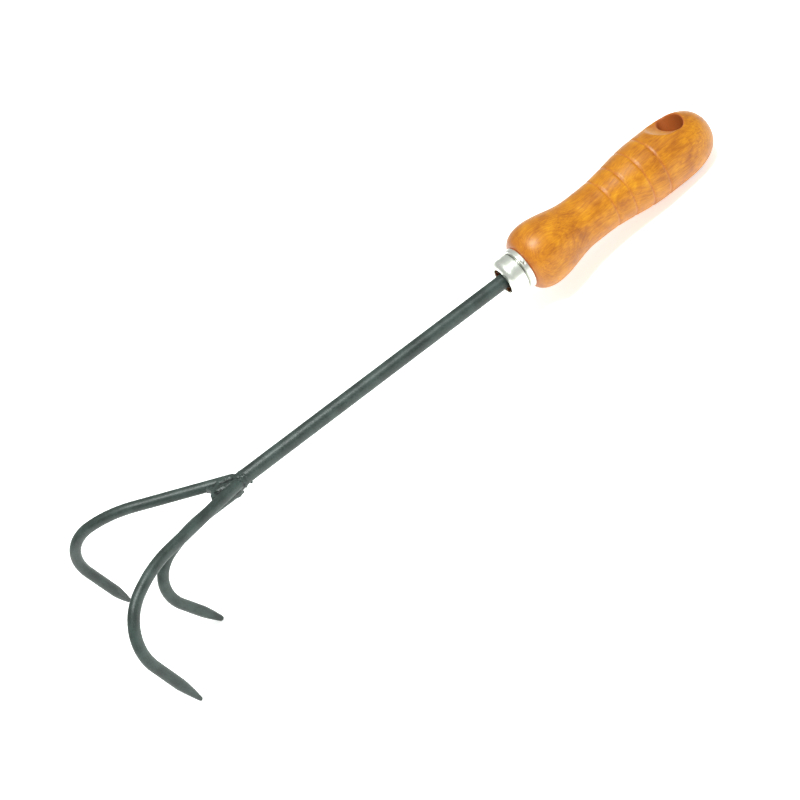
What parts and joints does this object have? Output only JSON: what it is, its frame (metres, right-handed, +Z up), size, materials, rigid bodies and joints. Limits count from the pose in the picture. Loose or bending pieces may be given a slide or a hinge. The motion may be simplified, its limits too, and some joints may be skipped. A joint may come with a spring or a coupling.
{
  "type": "hand rake",
  "caption": "Hand rake with hooked, pointed steel tines welded to a long round shaft, with a plated ferrule and a turned wooden handle with a hanging hole.",
  "frame": {"origin": "middle of the tool's length, on its mid-plane, on the surface that it rests on", "axes": "+X points from the handle to the tines, +Z is up, and XZ is the mid-plane; the shaft rises 7.8 degrees towards the tines, and the handle 6.8 degrees"},
  "size_m": [0.396, 0.1068, 0.0753],
  "materials": {
    "handle_wood": "clear gloss lacquer over stained hardwood",
    "ferrule_plate": "bright nickel plate",
    "coated_steel": "satin grey-green coating on steel rod",
    "coated_weld": "satin coating over rough weld metal"
  },
  "bodies": {
    "root": {"handle": "handle_wood", "ferrule": "ferrule_plate", "shaft": "coated_steel", "left_tine": "coated_steel", "right_tine": "coated_steel", "centre_tine": "coated_steel", "shaft_weld": "coated_weld", "crotch_weld": "coated_weld"}
  },
  "joints": []
}
